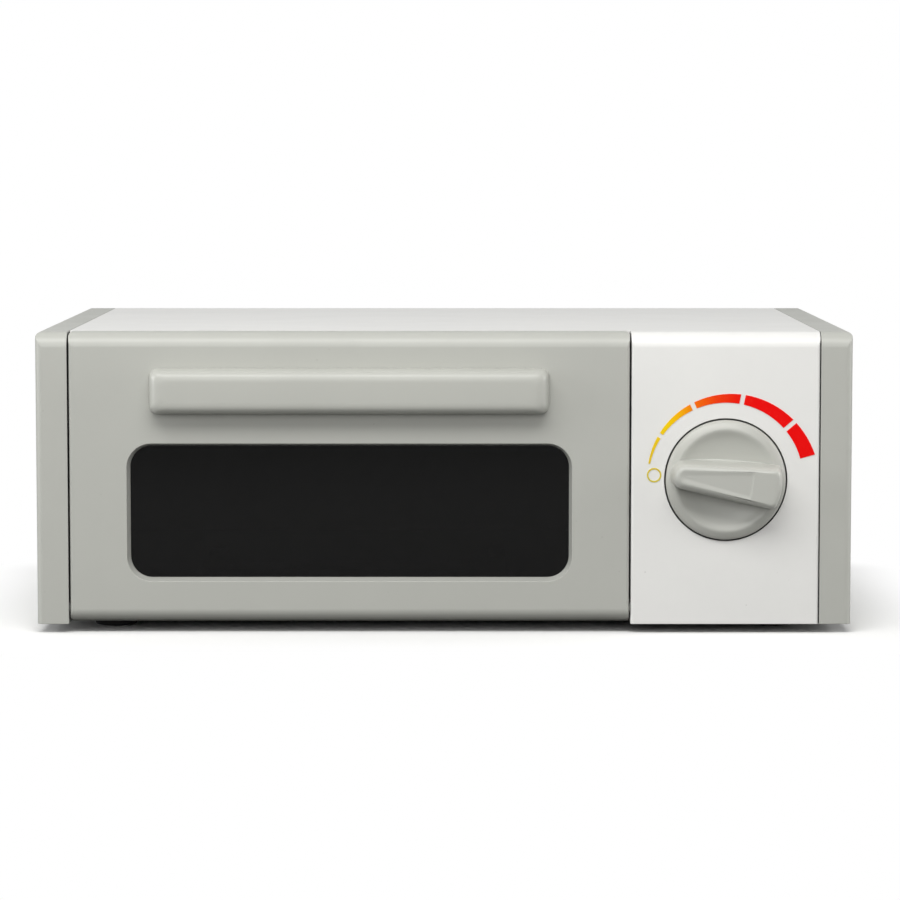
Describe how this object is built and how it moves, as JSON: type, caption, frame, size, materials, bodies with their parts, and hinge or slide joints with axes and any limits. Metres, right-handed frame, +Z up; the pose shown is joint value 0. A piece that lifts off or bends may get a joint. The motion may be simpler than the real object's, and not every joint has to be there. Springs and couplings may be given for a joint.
{
  "type": "toy oven",
  "caption": "Toy toaster oven: wide low box with a bottom-hinged door, dark window, long handle, control panel with a heat dial, and light and sound inside.",
  "frame": {"origin": "on the table, in the middle of the oven's footprint, with the knob's reach counted in", "axes": "+X to the right along the front, from the door towards the knob; +Y from the front to the back; +Z up"},
  "size_m": [0.27, 0.185, 0.1],
  "materials": {
    "white_plastic": "white, smooth, soft sheen",
    "grey_plastic": "light warm grey, smooth, soft sheen",
    "handle_plastic": "light warm grey, smooth, soft sheen",
    "knob_plastic": "light warm grey, smooth, soft sheen",
    "liner_plastic": "mid grey, matte",
    "pane": "smoked clear plastic, polished",
    "scale_print": "printed arcs from yellow to red",
    "foot_rubber": "dark, matte",
    "screw_steel": "zinc plated",
    "rotor_plastic": "natural, slippery",
    "contact_brass": "bright spring brass",
    "board_laminate": "green solder mask",
    "component_black": "black resin",
    "led_clear": "amber tinted, clear",
    "lens_amber": "amber tinted, frosted",
    "speaker_steel": "plated, dull",
    "cone_paper": "dark pressed paper",
    "magnet_ferrite": "dark ferrite",
    "box_plastic": "black, fine grain",
    "cell_jacket": "printed film without lettering",
    "contact_nickel": "nickel plated",
    "lead_black": "black vinyl",
    "lead_red": "red vinyl",
    "lead_yellow": "yellow vinyl"
  },
  "bodies": {
    "casing": {"body_shell": "white_plastic", "base_plate": "grey_plastic", "left_end_cap": "grey_plastic", "right_end_cap": "grey_plastic", "oven_liner": "liner_plastic", "feet": "foot_rubber", "heat_scale": "scale_print", "base_screws": "screw_steel", "liner_screws": "screw_steel", "circuit_board": "board_laminate", "board_parts": "component_black", "board_screws": "screw_steel", "led_board": "board_laminate", "led": "led_clear", "light_lens": "lens_amber", "led_screws": "screw_steel", "speaker_frame": "speaker_steel", "speaker_cone": "cone_paper", "speaker_magnet": "magnet_ferrite", "speaker_screws": "screw_steel", "battery_box": "box_plastic", "batteries": "cell_jacket", "battery_springs": "contact_nickel", "battery_contacts": "contact_nickel", "battery_box_screws": "screw_steel", "speaker_leads": "lead_black", "battery_leads": "lead_red", "led_leads": "lead_yellow"},
    "door": {"door_front": "grey_plastic", "door_back": "grey_plastic", "door_window": "pane", "door_handle": "handle_plastic", "door_screws": "screw_steel", "handle_screws": "screw_steel"},
    "dial": {"knob": "knob_plastic", "knob_rotor": "rotor_plastic", "wiper": "contact_brass", "knob_screw": "screw_steel"},
    "battery_lid": {"battery_cover": "grey_plastic", "cover_screws": "screw_steel"}
  },
  "joints": [
    {"name": "door_hinge", "type": "hinge", "parent": "casing", "child": "door", "pos_m": [-0.0313, -0.0775, 0.008], "axis": [1, 0, 0], "range_deg": [0, 85]},
    {"name": "knob_turn", "type": "hinge", "parent": "casing", "child": "dial", "pos_m": [0.0932, -0.0815, 0.0511], "axis": [0, 1, 0], "range_deg": [0, 160]},
    {"name": "battery_cover_lift", "type": "slide", "parent": "casing", "child": "battery_lid", "axis": [0, 0, -1], "range_m": [0, 0.02]}
  ]
}
